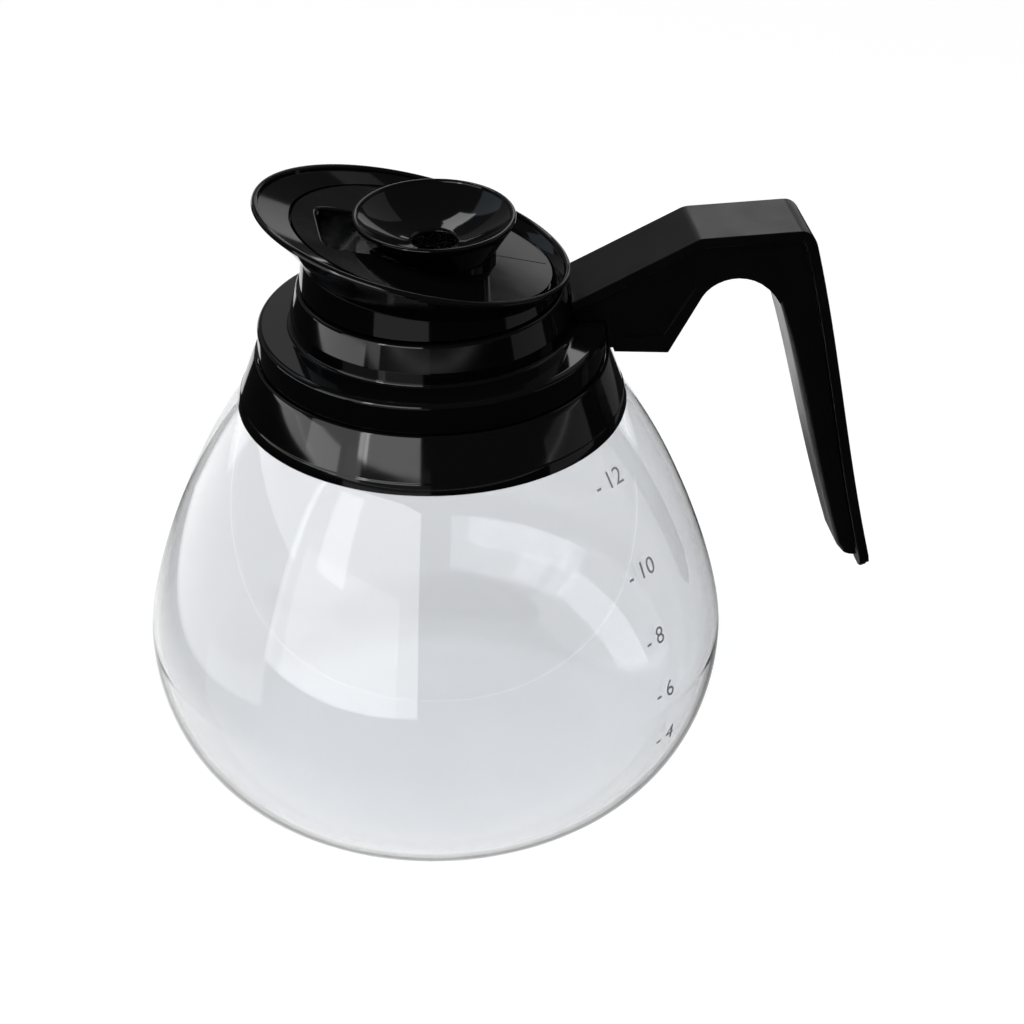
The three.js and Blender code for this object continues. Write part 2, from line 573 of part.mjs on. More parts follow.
const tipShare = (z) => {
  const drop = THREE.MathUtils.clamp((gripStart.y - z) / GRIP_DROP, 0, 1);
  const round = THREE.MathUtils.clamp(1 - (2 * (z - gripTip.y)) / TIP_WIDTH, 0, Math.sin(TIP_END));
  return THREE.MathUtils.lerp(1, TIP_WIDTH / HANDLE_WIDTH, drop * drop) * Math.sqrt(1 - round * round);
};

// Places of the two screws that pull the spine down on the body
const frontScrewX = earEnd + SCREW_HEAD + 2.5 * GAP + CLAMP_FLOOR;
const rearScrewX = panelStart.x + PANEL_LENGTH / 2;
const beamTop = (x) => Math.min(panelTop, spineRoot.y + (x - spineRoot.x) * Math.tan(BEAM_SLOPE));
const bossFoot = (x) => beamTop(x) - SPINE_THICKNESS - SPINE_BOSS_LENGTH;

const spineInside = inward(spineOutside, SPINE_THICKNESS);
const spineShape = new THREE.Shape([...spineOutside, ...spineInside.reverse()].reverse());
const spinePlate = narrowed(plateXZ(spineShape, HANDLE_WIDTH, SPINE_EDGE, 1), (x, z) => tipShare(z));
let spine = solid(spinePlate);
for (const x of [frontScrewX, rearScrewX]) {
  const top = beamTop(x) - SPINE_THICKNESS / 2;
  const pillar = rod(SPINE_BOSS, bossFoot(x), top).translate(x, 0, 0);
  const pilot = rod(boreRadius, bossFoot(x) - GAP, top).translate(x, 0, 0);
  spine = spine.add(solid(pillar)).subtract(solid(pilot));
}
add('handle_spine', geometryOf(spine.subtract(collarRoom)), blackSatin);

// Body: hooked over the collar's shoulder, flat below, arched, then a tongue along the spine
const underside = shoulderTop - UNDERSIDE_DROP;
const undersideEnd = new THREE.Vector2(RING_RADIUS + UNDERSIDE_LENGTH, underside - UNDERSIDE_FALL);
const crown = panelTop - ARCH_DEPTH;
const archStart = new THREE.Vector2(panelStart.x + ARCH_SHIFT, crown - ARCH_SPAN / 4);
const archEnd = new THREE.Vector2(archStart.x + ARCH_SPAN, crown - ARCH_SPAN * 0.45);
const bodyOutside = inward(spineOutside, SPINE_THICKNESS + GAP);
const tongueFoot = gripTip.y + TONGUE_SHORT;
const tongueTip = bodyOutside.findIndex((point) => point.y < tongueFoot);
const [tongueAbove, tongueBelow] = bodyOutside.slice(tongueTip - 1, tongueTip + 1);
const tongueEnd = tongueAbove.clone().lerp(
  tongueBelow, (tongueAbove.y - tongueFoot) / (tongueAbove.y - tongueBelow.y),
);
const tongueRound = new THREE.Vector2(tongueEnd.x - GRIP_DEPTH * 0.8, tongueFoot + TONGUE_ROUND);
const bodyShape = new THREE.Shape();
bodyShape.moveTo(NECK_RADIUS - NECK_WALL, underside);
bodyShape.lineTo(RING_RADIUS, underside);
bodyShape.lineTo(undersideEnd.x, undersideEnd.y);
bodyShape.lineTo(archStart.x, archStart.y);
bodyShape.bezierCurveTo(
  archStart.x + ARCH_SPAN * 0.17, archStart.y + ARCH_SPAN * 0.28,
  archStart.x + ARCH_SPAN * 0.72, archStart.y + ARCH_SPAN * 0.36,
  archEnd.x, archEnd.y,
);
const gripMiddle = gripOutside.getPoint(0.5);
const gripInside = new THREE.Vector2(gripMiddle.x - SPINE_THICKNESS - GRIP_DEPTH, gripMiddle.y);
bodyShape.splineThru([
  new THREE.Vector2((archEnd.x + gripInside.x) / 2 + GRIP_DEPTH / 12, (archEnd.y + gripInside.y) / 2),
  gripInside,
  new THREE.Vector2((tongueRound.x + gripInside.x) / 2 - GRIP_DEPTH / 12, (tongueRound.y + gripInside.y) / 2),
  tongueRound,
]);
bodyShape.quadraticCurveTo(
  tongueRound.x + GRIP_DEPTH / 4, tongueFoot, tongueEnd.x - 2.5 * HANDLE_BEVEL, tongueFoot,
);
bodyShape.lineTo(tongueEnd.x, tongueFoot);
const tongueBack = bodyOutside.filter((point) => point.y > tongueFoot + TONGUE_ROUND / 2);
for (const point of tongueBack.reverse()) bodyShape.lineTo(point.x, point.y);

const tongueShare = (x, z) => {
  const below = THREE.MathUtils.smoothstep(archEnd.y - z, -PANEL_CORNER, 2 * PANEL_CORNER)
    * THREE.MathUtils.smoothstep(x, archStart.x, archEnd.x);
  const drop = THREE.MathUtils.clamp((gripStart.y - z) / GRIP_DROP, 0, 1);
  const outside = gripOutside.getPoint(drop).x - SPINE_THICKNESS;
  const inwards = THREE.MathUtils.clamp((outside - x) / GRIP_DEPTH, 0, 1);
  return tipShare(z) * THREE.MathUtils.lerp(1, TONGUE_NARROW, below * inwards);
};
let body = solid(narrowed(plateXZ(bodyShape, BODY_WIDTH, HANDLE_BEVEL, 6), tongueShare)).subtract(collarRoom);

// Shallow panel in each side of the beam
const flank = archStart.clone().sub(undersideEnd).normalize();
const pocketLow = underside + POCKET_BORDER;
const pocketHigh = (x) => beamTop(x) - SPINE_THICKNESS / Math.cos(BEAM_SLOPE) - POCKET_BORDER;
const pocketX = (z) => undersideEnd.x + ((z - undersideEnd.y) * flank.x - POCKET_BORDER) / flank.y;
const pocketLeft = RING_RADIUS + POCKET_BORDER;
const pocketRight = pocketX(crown - POCKET_BORDER);
const pocketShape = new THREE.Shape([
  new THREE.Vector2(pocketLeft, pocketLow), new THREE.Vector2(pocketX(pocketLow), pocketLow),
  new THREE.Vector2(pocketRight, crown - POCKET_BORDER),
  new THREE.Vector2(pocketRight, pocketHigh(pocketRight)), new THREE.Vector2(pocketLeft, pocketHigh(pocketLeft)),
]);
for (const side of [-1, 1]) {
  const pocket = plateXZ(pocketShape, 2 * POCKET_DEPTH, 0, 1).translate(0, (side * BODY_WIDTH) / 2, 0);
  body = body.subtract(solid(pocket));
}

// Slot for the band's ears, open below; cross bore with a counterbore on +Y and a nut recess on -Y
const slotHalf = earOutside + GAP;
const nutCorner = NUT_FLATS / Math.sqrt(3) + GAP;
const nutFace = -slotHalf - GAP;
const headFace = slotHalf + CLAMP_FLOOR;
const cuts = [
  block(
    new THREE.Vector3(RING_RADIUS - RING_WALL, -slotHalf, undersideEnd.y - GAP),
    new THREE.Vector3(earEnd + GAP, slotHalf, earTop + GAP),
  ),
  rod(boreRadius, nutFace - NUT_HEIGHT - GAP, BODY_WIDTH).rotateX(-Math.PI / 2)
    .translate(clampScrewX, 0, clampScrewZ),
  rod(SCREW_HEAD + BORE_CLEARANCE, headFace, BODY_WIDTH).rotateX(-Math.PI / 2)
    .translate(clampScrewX, 0, clampScrewZ),
  rod(nutCorner, nutFace - NUT_HEIGHT - GAP, 0, 6).rotateX(-Math.PI / 2)
    .translate(clampScrewX, 0, clampScrewZ),
];
const screwSeats = [
  { name: 'handle_screw_front', x: frontScrewX, foot: underside },
  { name: 'handle_screw_rear', x: rearScrewX, foot: crown },
].map(({ name, x, foot }) => ({ name, x, foot, seat: bossFoot(x) - GAP - CLAMP_FLOOR }));
for (const { x, foot, seat } of screwSeats) {
  cuts.push(
    rod(SCREW_HEAD + BORE_CLEARANCE, foot - ARCH_DEPTH, seat).translate(x, 0, 0),
    rod(boreRadius, seat - GAP, seat + CLAMP_FLOOR + GAP).translate(x, 0, 0),
    rod(SPINE_BOSS + GAP, bossFoot(x) - GAP, panelTop).translate(x, 0, 0),
  );
}
for (const cut of cuts) body = body.subtract(solid(cut));
add('handle_body', geometryOf(body), blackSatin);

// Clamp screw and nut across the ears, and the two screws up into the spine
const clampScrew = geometryOf(screw(headFace - nutFace + NUT_HEIGHT)).rotateX(Math.PI / 2);
add('clamp_screw', clampScrew, steel).position.set(clampScrewX, headFace + GAP / 2, clampScrewZ);

const nutShape = new THREE.Shape();
for (let i = 0; i < 6; i += 1) {
  const angle = (Math.PI / 3) * (i + 0.5);
  const corner = [(NUT_FLATS / Math.sqrt(3)) * Math.cos(angle), (NUT_FLATS / Math.sqrt(3)) * Math.sin(angle)];
  if (i === 0) nutShape.moveTo(...corner);
  else nutShape.lineTo(...corner);
}
const nutHole = new THREE.Path().absarc(0, 0, SCREW_RADIUS + GAP / 2, 0, 2 * Math.PI, true);
nutShape.holes.push(nutHole);
const nut = new THREE.ExtrudeGeometry(nutShape, {
  depth: NUT_HEIGHT, bevelEnabled: false, curveSegments: HOLE_SIDES,
}).rotateX(Math.PI / 2);
add('clamp_nut', nut, steel).position.set(clampScrewX, -earOutside - GAP, clampScrewZ);

for (const { name, x, seat } of screwSeats) {
  const length = beamTop(x) - SPINE_THICKNESS / 2 - GAP - seat;
  add(name, geometryOf(screw(length)), steel).position.set(x, 0, seat - GAP / 2);
}

export default decanter;
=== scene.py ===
# Glass coffee decanter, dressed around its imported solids: a round glass bowl, a black collar with a
# pour funnel clamped on its neck, a lift-out brew-through lid and a hooked side handle.
# The sizes of the pieces are in millimetres and become metres when a piece is drawn.
import math

import bpy
from mathutils import Matrix, Vector


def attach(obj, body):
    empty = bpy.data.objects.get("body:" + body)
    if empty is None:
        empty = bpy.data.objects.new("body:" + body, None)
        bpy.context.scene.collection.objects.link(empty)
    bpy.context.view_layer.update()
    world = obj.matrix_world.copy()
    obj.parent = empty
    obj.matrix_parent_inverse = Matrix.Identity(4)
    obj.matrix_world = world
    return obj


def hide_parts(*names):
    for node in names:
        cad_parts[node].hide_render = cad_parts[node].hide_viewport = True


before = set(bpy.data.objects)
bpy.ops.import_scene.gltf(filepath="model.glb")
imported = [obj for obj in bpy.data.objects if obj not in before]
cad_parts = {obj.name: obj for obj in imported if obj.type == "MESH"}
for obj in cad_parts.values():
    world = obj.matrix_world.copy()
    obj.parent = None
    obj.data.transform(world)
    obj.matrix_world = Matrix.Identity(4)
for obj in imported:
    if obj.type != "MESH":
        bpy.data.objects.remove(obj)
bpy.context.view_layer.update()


# Glass bowl
# Clear borosilicate glass, blown into a mould: a thick flat base, a wide low belly and a narrowing
# side. Its rolled mouth and short neck are hidden under the collar, which is clamped round them.
MM = 0.001
TOUCHING = 0.001
ROUND_SIDES = 144
BASE_RADIUS = 46
BELLY_RADIUS = 82.5
BELLY_HEIGHT = 47.6
SHOULDER = (53.9, 120.8)
GLASS_NECK = 43.4
NECK_FOOT = 132.6
NECK_TOP = 139.9
MOUTH_HEIGHT = 141.3
MOUTH_ROLL = (1.5, 1.2)
MOUTH_SET_IN = 0.8
BASE_GLASS = 3
BASE_KICK = 0.8
SIDE_GLASS = 2.2
GLASS_TINT = (0.795, 0.805, 0.82, 1)
NOISE_RANGE = (0.3, 0.7)


def arc(centre, radii, start, end, steps):
    """Points round part of an ellipse, from one angle in degrees to another."""
    angles = [math.radians(start + (end - start) * step / steps) for step in range(steps + 1)]
    return [(centre[0] + radii[0] * math.cos(a), centre[1] + radii[1] * math.sin(a)) for a in angles]


def curve(controls, steps):
    """Points along the smooth curve that its control points pull on."""
    points = []
    for step in range(steps + 1):
        level = [Vector(point) for point in controls]
        while len(level) > 1:
            level = [a.lerp(b, step / steps) for a, b in zip(level, level[1:])]
        points.append(tuple(level[0]))
    return points


def beside(path, distances):
    """The path moved to its left by a distance of its own at each point."""
    moved = []
    for i, (x, z) in enumerate(path):
        before = path[max(i - 1, 0)]
        after = path[min(i + 1, len(path) - 1)]
        length = math.hypot(after[0] - before[0], after[1] - before[1])
        moved.append((
            x - (after[1] - before[1]) / length * distances[i],
            z + (after[0] - before[0]) / length * distances[i],
        ))
    return moved


def drawn(name, outline):
    """A new piece that is a line through points of the XZ plane, left in edit mode."""
    bpy.ops.object.select_all(action="DESELECT")
    bpy.ops.mesh.primitive_plane_add(size=MM)
    bpy.context.object.name = name
    bpy.ops.object.mode_set(mode="EDIT")
    bpy.ops.mesh.merge(type="CENTER")
    here = (0, 0)
    for i, point in enumerate(outline):
        step = ((point[0] - here[0]) * MM, 0, (point[1] - here[1]) * MM)
        if i:
            bpy.ops.mesh.extrude_region_move(TRANSFORM_OT_translate={"value": step})
        else:
            bpy.ops.transform.translate(value=step)
        here = point
    return bpy.context.object


def closed():
    """Merge the doubles of the piece in edit mode, turn its faces outwards and leave edit mode."""
    bpy.ops.mesh.select_all(action="SELECT")
    bpy.ops.mesh.remove_doubles(threshold=TOUCHING * MM)
    bpy.ops.mesh.normals_make_consistent(inside=False)
    bpy.ops.object.mode_set(mode="OBJECT")


def turned(name, profile, axis_x=0):
    """A piece turned from a profile of (radius, height) points round an upright axis."""
    piece = drawn(name, [(axis_x + radius, height) for radius, height in profile])
    bpy.ops.mesh.select_all(action="SELECT")
    bpy.ops.mesh.spin(
        steps=ROUND_SIDES, angle=2 * math.pi, center=(axis_x * MM, 0, 0), axis=(0, 0, 1),
    )
    closed()
    return piece


def picked_up(piece):
    """Select the piece alone and make it the one that is worked on."""
    bpy.ops.object.select_all(action="DESELECT")
    piece.select_set(True)
    bpy.context.view_layer.objects.active = piece


def smoothed(piece, angle):
    """Shade the piece smooth, apart from edges that turn by more than the angle in degrees. The
    large faces lead, so that a small rounding doesn't bend the reflections beside it."""
    picked_up(piece)
    bpy.ops.object.shade_smooth_by_angle(angle=math.radians(angle))
    bpy.ops.object.modifier_add(type="WEIGHTED_NORMAL")
    piece.modifiers[-1].keep_sharp = True
    bpy.ops.object.modifier_apply(modifier=piece.modifiers[-1].name)


def new_finish(name, sockets):
    """A material with these sockets of its surface shader set."""
    finish = bpy.data.materials.new(name)
    finish.use_nodes = True
    for socket, value in sockets.items():
        finish.node_tree.nodes["Principled BSDF"].inputs[socket].default_value = value
    return finish


def noise(finish, scale, detail):
    """Noise in the piece's own coordinates, with so many lumps to the metre."""
    tree = finish.node_tree
    place = tree.nodes.new("ShaderNodeTexCoord")
    lumps = tree.nodes.new("ShaderNodeTexNoise")
    lumps.inputs["Scale"].default_value = scale
    lumps.inputs["Detail"].default_value = detail
    tree.links.new(place.outputs["Object"], lumps.inputs["Vector"])
    return lumps.outputs["Fac"]


def ranged(tree, value, before, after):
    """A value carried over from one range to another, and held at the ends of that."""
    spread = tree.nodes.new("ShaderNodeMapRange")
    for socket, end in zip(("From Min", "From Max", "To Min", "To Max"), (*before, *after)):
        spread.inputs[socket].default_value = end
    tree.links.new(value, spread.inputs["Value"])
    return spread.outputs["Result"]


def uneven_gloss(finish, scale, low, high):
    """Let the roughness of the finish wander between two values."""
    tree = finish.node_tree
    roughness = ranged(tree, noise(finish, scale, 4), NOISE_RANGE, (low, high))
    tree.links.new(roughness, tree.nodes["Principled BSDF"].inputs["Roughness"])


def relief(finish, scale, depth, strength):
    """Raise and lower the surface by noise of a depth in millimetres."""
    tree = finish.node_tree
    bump = tree.nodes.new("ShaderNodeBump")
    bump.inputs["Strength"].default_value = strength
    bump.inputs["Distance"].default_value = depth * MM
    tree.links.new(noise(finish, scale, 2), bump.inputs["Height"])
    tree.links.new(bump.outputs["Normal"], tree.nodes["Principled BSDF"].inputs["Normal"])


def coated(piece, finish):
    """Give the piece one finish all over."""
    piece.data.materials.clear()
    piece.data.materials.append(finish)


def placed(piece, finish, body, slot, *nodes):
    """Give a new piece its finish and its body, and hide the solids that it stands for. The slot is
    not used.
    """
    coated(piece, finish)
    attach(piece, body)
    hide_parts(*nodes)


lower_side = arc((BASE_RADIUS, BELLY_HEIGHT), (BELLY_RADIUS - BASE_RADIUS, BELLY_HEIGHT), -90, 0, 30)
upper_side = curve([(BELLY_RADIUS, BELLY_HEIGHT), (BELLY_RADIUS, 62.2), (68.5, 101.2), SHOULDER], 32)
neck_side = curve([SHOULDER, (50.4, 125.5), (GLASS_NECK, 126.7), (GLASS_NECK, NECK_FOOT)], 10)
glass_outside = lower_side + upper_side[1:] + neck_side[1:] + [(GLASS_NECK, NECK_TOP)]
glass_walls = [
    max(SIDE_GLASS, BASE_GLASS - (BASE_GLASS - SIDE_GLASS) * i / len(lower_side))
    for i in range(len(glass_outside))
]
glass_inside = beside(glass_outside, glass_walls)
mouth_middle = (GLASS_NECK - MOUTH_SET_IN, MOUTH_HEIGHT - MOUTH_ROLL[1])
glass_mouth = arc(mouth_middle, MOUTH_ROLL, -10, 190, 10)
glass_kick = curve([
    (0, BASE_KICK), (18, BASE_KICK), (32, BASE_KICK / 2), (40, 0), (BASE_RADIUS - 1, 0),
], 14)
glass_bowl = turned(
    "blown_bowl",
    glass_kick + glass_outside + glass_mouth + glass_inside[::-1] + [(0, BASE_GLASS)],
)
smoothed(glass_bowl, 60)
clear_glass = new_finish("clear_glass", {
    "Base Color": GLASS_TINT,
    "IOR": 1.47,
    "Transmission Weight": 1,
})
uneven_gloss(clear_glass, 18, 0, 0.015)
relief(clear_glass, 22, 0.5, 0.12)
placed(glass_bowl, clear_glass, "decanter", "clear_glass", "glass_bowl")
glass_bowl.visible_shadow = False


# Printed scale
# Grey screen print, fired on the outside of the glass: a dash and the plain number of cups at the
# height that so many cups of coffee reach in the bowl.
PRINT_GREY = (0.36, 0.37, 0.38, 1)
PRINT_AZIMUTH = math.radians(-50)
PRINT_SIZE = 7
PRINT_STANDS = 0.06
CUP_OF_COFFEE = 150000


def filled_to(volume):
    """The height that a volume in cubic millimetres reaches in the bowl."""
    walls = [(0, BASE_GLASS)] + glass_inside
    for (low_radius, low), (high_radius, high) in zip(walls, walls[1:]):
        middle = (low_radius * low_radius + low_radius * high_radius + high_radius * high_radius) / 3
        layer = math.pi * middle * (high - low)
        if layer > volume:
            return low + (high - low) * volume / layer
        volume -= layer


facing = Vector((math.cos(PRINT_AZIMUTH), math.sin(PRINT_AZIMUTH), 0))
across = Vector((-math.sin(PRINT_AZIMUTH), math.cos(PRINT_AZIMUTH), 0))
labels = []
for cups in (4, 6, 8, 10, 12):
    height = filled_to(cups * CUP_OF_COFFEE)
    below = max(i for i, point in enumerate(glass_outside) if point[1] <= height)
    (radius, foot), (next_radius, top) = glass_outside[below:below + 2]
    lean = math.atan2(radius - next_radius, top - foot)
    radius += (next_radius - radius) * (height - foot) / (top - foot)
    outwards = facing * math.cos(lean) + Vector((0, 0, math.sin(lean)))
    place = facing * radius + Vector((0, 0, height)) + outwards * PRINT_STANDS
    bpy.ops.object.select_all(action="DESELECT")
    bpy.ops.object.text_add(location=(0, 0, 0))
    label = bpy.context.object
    label.data.body = f"- {cups}"
    label.data.size = PRINT_SIZE * MM
    label.data.extrude = PRINT_STANDS / 2 * MM
    label.data.resolution_u = 3
    label.data.align_x = "LEFT"
    label.data.align_y = "CENTER"
    bpy.ops.object.convert(target="MESH")
    turn = Matrix((across, outwards.cross(across), outwards)).transposed()
    label.matrix_world = Matrix.Translation(place * MM) @ turn.to_4x4()
    bpy.ops.object.transform_apply(location=True, rotation=True, scale=True)
    bpy.ops.object.mode_set(mode="EDIT")
    closed()
    labels.append(label)
for label in labels:
    label.select_set(True)
bpy.ops.object.join()
printed_scale = bpy.context.object
printed_scale.name = "printed_scale"
printed_grey = new_finish("printed_grey", {"Base Color": PRINT_GREY})
uneven_gloss(printed_grey, 300, 0.35, 0.6)
relief(printed_grey, 1200, 0.02, 0.3)
coated(printed_scale, printed_grey)
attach(printed_scale, "decanter")


# Collar skirt
# Flared ring of glossy black plastic, injection moulded, that hangs over the glass shoulder. A
# plain band stands out round its foot, and its top edge takes the sleeve of the collar ring.
PLASTIC_BLACK = (0.0022, 0.0022, 0.0025, 1)
SKIRT_FOOT = (54.3, 120.8)
SKIRT_ROUNDING = 0.35


def rounded(piece, width, segments, limit, angle=35):
    """Round edges of the piece by a width in millimetres: those with a bevel weight, or those that
    turn by more than the angle in degrees."""
    picked_up(piece)
    bpy.ops.object.modifier_add(type="BEVEL")
    bevel = piece.modifiers[-1]
    bevel.width = width * MM
    bevel.segments = segments
    bevel.limit_method = limit
    bevel.angle_limit = math.radians(angle)
    bpy.ops.object.modifier_apply(modifier=bevel.name)


def softened(piece, width, angle=35):
    """Round the sharp edges of the piece by a width in millimetres and shade it smooth."""
    rounded(piece, width, 3, "ANGLE", angle)
    smoothed(piece, angle)


collar_skirt = turned("moulded_skirt", [
    SKIRT_FOOT, (53.6, 123.7), (53.3, 124), *curve([(53.2, 124.3), (51.4, 129.8), (49.2, 135.6)], 10),
    (48.9, 136.1), (48.3, 136.1), (48.3, 132.6), (52, 123.9), (52.8, 121.4), SKIRT_FOOT,
])
softened(collar_skirt, SKIRT_ROUNDING)
black_gloss = new_finish("black_gloss", {"Base Color": PLASTIC_BLACK, "IOR": 1.5})
uneven_gloss(black_gloss, 60, 0.05, 0.09)
relief(black_gloss, 90, 0.05, 0.1)
placed(collar_skirt, black_gloss, "decanter", "black_gloss", "collar_skirt")


# Collar ring
# Second glossy black moulding, pushed into the skirt: a sleeve, an upright wall, a flat shoulder
# and a short neck that carries the funnel. A window at the back lets the clamp's ears out.
SLEEVE_FOOT = 132.6
SLEEVE_RADII = (46.3, 48)
SHOULDER_TOP = 145
SHOULDER_ROUNDING = 1.5
NECK_FLOOR = 142.8
NECK_BORE = 34.6
NECK_RADIUS = 37
NECK_ROUNDING = 1.1
COLLAR_TOP = 156.7
WINDOW_HALF = 2.2


def trimmed(piece, cutter, operation="DIFFERENCE"):
    """Cut a second shape out of the piece, or join it on, and drop the second shape."""
    picked_up(piece)
    bpy.ops.object.modifier_add(type="BOOLEAN")
    trim = piece.modifiers[-1]
    trim.operation = operation
    trim.solver = "EXACT"
    trim.object = cutter
    bpy.ops.object.modifier_apply(modifier=trim.name)
    bpy.data.objects.remove(cutter)


def flat_face(name, outline):
    """A new piece that is one face with an outline in the XZ plane, left in edit mode."""
    piece = drawn(name, [*outline, outline[0]])
    bpy.ops.mesh.select_all(action="SELECT")
    bpy.ops.mesh.remove_doubles(threshold=TOUCHING * MM)
    bpy.ops.mesh.edge_face_add()
    return piece


def slab(name, outline, low, high):
    """A flat piece with an outline in the XZ plane, from one depth along Y to another."""
    piece = flat_face(name, outline)
    bpy.ops.transform.translate(value=(0, low * MM, 0))
    bpy.ops.mesh.extrude_region_move(TRANSFORM_OT_translate={"value": (0, (high - low) * MM, 0)})
    closed()
    return piece


shoulder_middle = (SLEEVE_RADII[1] - SHOULDER_ROUNDING, SHOULDER_TOP - SHOULDER_ROUNDING)
neck_middle = (NECK_RADIUS - NECK_ROUNDING, COLLAR_TOP - NECK_ROUNDING)
collar_ring = turned("moulded_ring", [
    (SLEEVE_RADII[1], SLEEVE_FOOT), *arc(shoulder_middle, [SHOULDER_ROUNDING] * 2, 0, 90, 8),
    *curve([(40.2, SHOULDER_TOP), (39, SHOULDER_TOP), (38.8, SHOULDER_TOP + 0.3), (38.7, 146.3)], 6),
    (38.7, 149), (38.65, 149.3), *arc(neck_middle, [NECK_ROUNDING] * 2, 10, 90, 6),
    (NECK_BORE, COLLAR_TOP), (NECK_BORE, NECK_FLOOR), (SLEEVE_RADII[0], NECK_FLOOR),
    (SLEEVE_RADII[0], SLEEVE_FOOT), (SLEEVE_RADII[1], SLEEVE_FOOT),
])
window_outline = [(44, 136.1), (51, 136.1), (51, 142.5), (44, 142.5)]
trimmed(collar_ring, slab("ear_window", window_outline, -WINDOW_HALF, WINDOW_HALF))
smoothed(collar_ring, 35)
placed(collar_ring, black_gloss, "decanter", "black_gloss", "collar_ring")


# Clamp at the glass neck
# A grey silicone cushion and gasket keep the collar off the glass. A stainless band with two ears
# is drawn tight by a cross screw and nut in the handle, and two more screws hold the handle's spine.
SILICONE_GREY = (0.45, 0.46, 0.47, 1)
STEEL_GREY = (0.6, 0.61, 0.62, 1)
silicone = new_finish("silicone", {"Base Color": SILICONE_GREY, "IOR": 1.41})
uneven_gloss(silicone, 150, 0.55, 0.75)
relief(silicone, 900, 0.06, 0.3)
steel = new_finish("steel", {"Base Color": STEEL_GREY, "Metallic": 1})
uneven_gloss(steel, 400, 0.25, 0.42)
relief(steel, 1500, 0.02, 0.3)
for node in ("neck_cushion", "mouth_gasket"):
    coated(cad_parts[node], silicone)
for node in ("neck_band", "clamp_screw", "clamp_nut", "handle_screw_front", "handle_screw_rear"):
    coated(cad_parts[node], steel)


# Pour funnel
# Glossy black moulding that snaps into the collar's neck: a throat tube, a wall that flares to a
# slanted oval rim, and a seat inside for the lid. The high side of the rim is the pouring lip.
RIM_CENTRE = (-4.5, 172.3)
RIM_TILT = math.radians(15.1)
RIM_HALF = (44.7, 39.7)
RIM_ROUNDING = (0.9, 1.1)
SEAT_SHIFT = 3.4
SEAT_BELOW = 5.3
THROAT_FOOT = 138.7
THROAT_RADII = (31, 34.3)
FUNNEL_FOOT = 157
FLARE_STEPS = 16
FLARE_PULL = (0.13, 0.3)


def lofted(stations):
    """Draw the open piece in edit mode on through sections of (middle x, middle z, half-length x,
    half-length z, half-width). It starts as a unit section in the XY plane at the origin."""
    before = (0, 0, 1, 0, 1)
    for i, station in enumerate(stations):
        x, z, across_x, across_z, width = station
        step = ((x - before[0]) * MM, 0, (z - before[1]) * MM)
        if i:
            bpy.ops.mesh.extrude_region_move(TRANSFORM_OT_translate={"value": step})
        else:
            bpy.ops.transform.translate(value=step)
        middle = (x * MM, 0, z * MM)
        stretch = math.hypot(across_x, across_z) / math.hypot(before[2], before[3])
        bpy.ops.transform.rotate(
            value=-math.atan2(before[3], before[2]), orient_axis="Y", center_override=middle,
        )
        bpy.ops.transform.resize(value=(stretch, width / before[4], 1), center_override=middle)
        bpy.ops.transform.rotate(
            value=math.atan2(across_z, across_x), orient_axis="Y", center_override=middle,
        )
        before = station


def round_ring(radius, height):
    """A level round ring on the decanter's axis."""
    return (0, height, radius, 0, radius)


def rim_ring(shift, half_length, half_width, below):
    """An oval ring on the rim's slope: moved along it, and so far below it."""
    slope = (math.cos(RIM_TILT), -math.sin(RIM_TILT))
    return (
        RIM_CENTRE[0] + shift * slope[0] + below * slope[1],
        RIM_CENTRE[1] + shift * slope[1] - below * slope[0],
        half_length * slope[0], half_length * slope[1], half_width,
    )


def slope_ring(radius, below):
    """The ring where an upright round wall meets a plane so far below the rim."""
    fall = math.tan(RIM_TILT)
    height = RIM_CENTRE[1] + RIM_CENTRE[0] * fall - below / math.cos(RIM_TILT)
    return (0, height, radius, -radius * fall, radius)


def rim_edge(inset, below):
    """A ring round the rim, so far in from its outline and so far below it."""
    return rim_ring(0, RIM_HALF[0] - inset, RIM_HALF[1] - inset, below)


throat = [round_ring(*ring) for ring in (
    (THROAT_RADII[1], THROAT_FOOT), (THROAT_RADII[1], 140.7), (35, 141.2), (35.2, 141.6), (35, 142),
    (THROAT_RADII[1], 142.5), (THROAT_RADII[1], FUNNEL_FOOT), (35.5, FUNNEL_FOOT), (35.9, 157.4),
)]
wall_start = (0, 162.35, 35.3, -3.62, 35.3)
wall_end = rim_edge(0, 1.4)
flare = []
for step in range(1, FLARE_STEPS):
    t = step / FLARE_STEPS
    out, up = (t * t + 2 * t * (1 - t) * pull for pull in FLARE_PULL)
    shares = (out, up, out, up, out)
    flare.append(tuple(a + (b - a) * share for a, b, share in zip(wall_start, wall_end, shares)))
rolled_rim = [rim_edge(*point) for point in arc(RIM_ROUNDING, RIM_ROUNDING, 180, 360, 8)]
bpy.ops.object.select_all(action="DESELECT")
bpy.ops.mesh.primitive_circle_add(vertices=ROUND_SIDES, radius=MM, fill_type="NOTHING")
pour_funnel = bpy.context.object
pour_funnel.name = "moulded_funnel"
bpy.ops.object.mode_set(mode="EDIT")
lofted([
    *throat, wall_start, *flare, wall_end, *rolled_rim, rim_edge(2, 1.5),
    rim_ring(SEAT_SHIFT, 37.4, 34.4, 3.1), rim_ring(SEAT_SHIFT, 36.8, 33.8, SEAT_BELOW),
    slope_ring(31.6, SEAT_BELOW), slope_ring(THROAT_RADII[0], SEAT_BELOW + 0.5),
    round_ring(THROAT_RADII[0], THROAT_FOOT), round_ring(THROAT_RADII[1], THROAT_FOOT),
])
closed()
smoothed(pour_funnel, 40)
placed(pour_funnel, black_gloss, "decanter", "black_gloss", "pour_funnel")


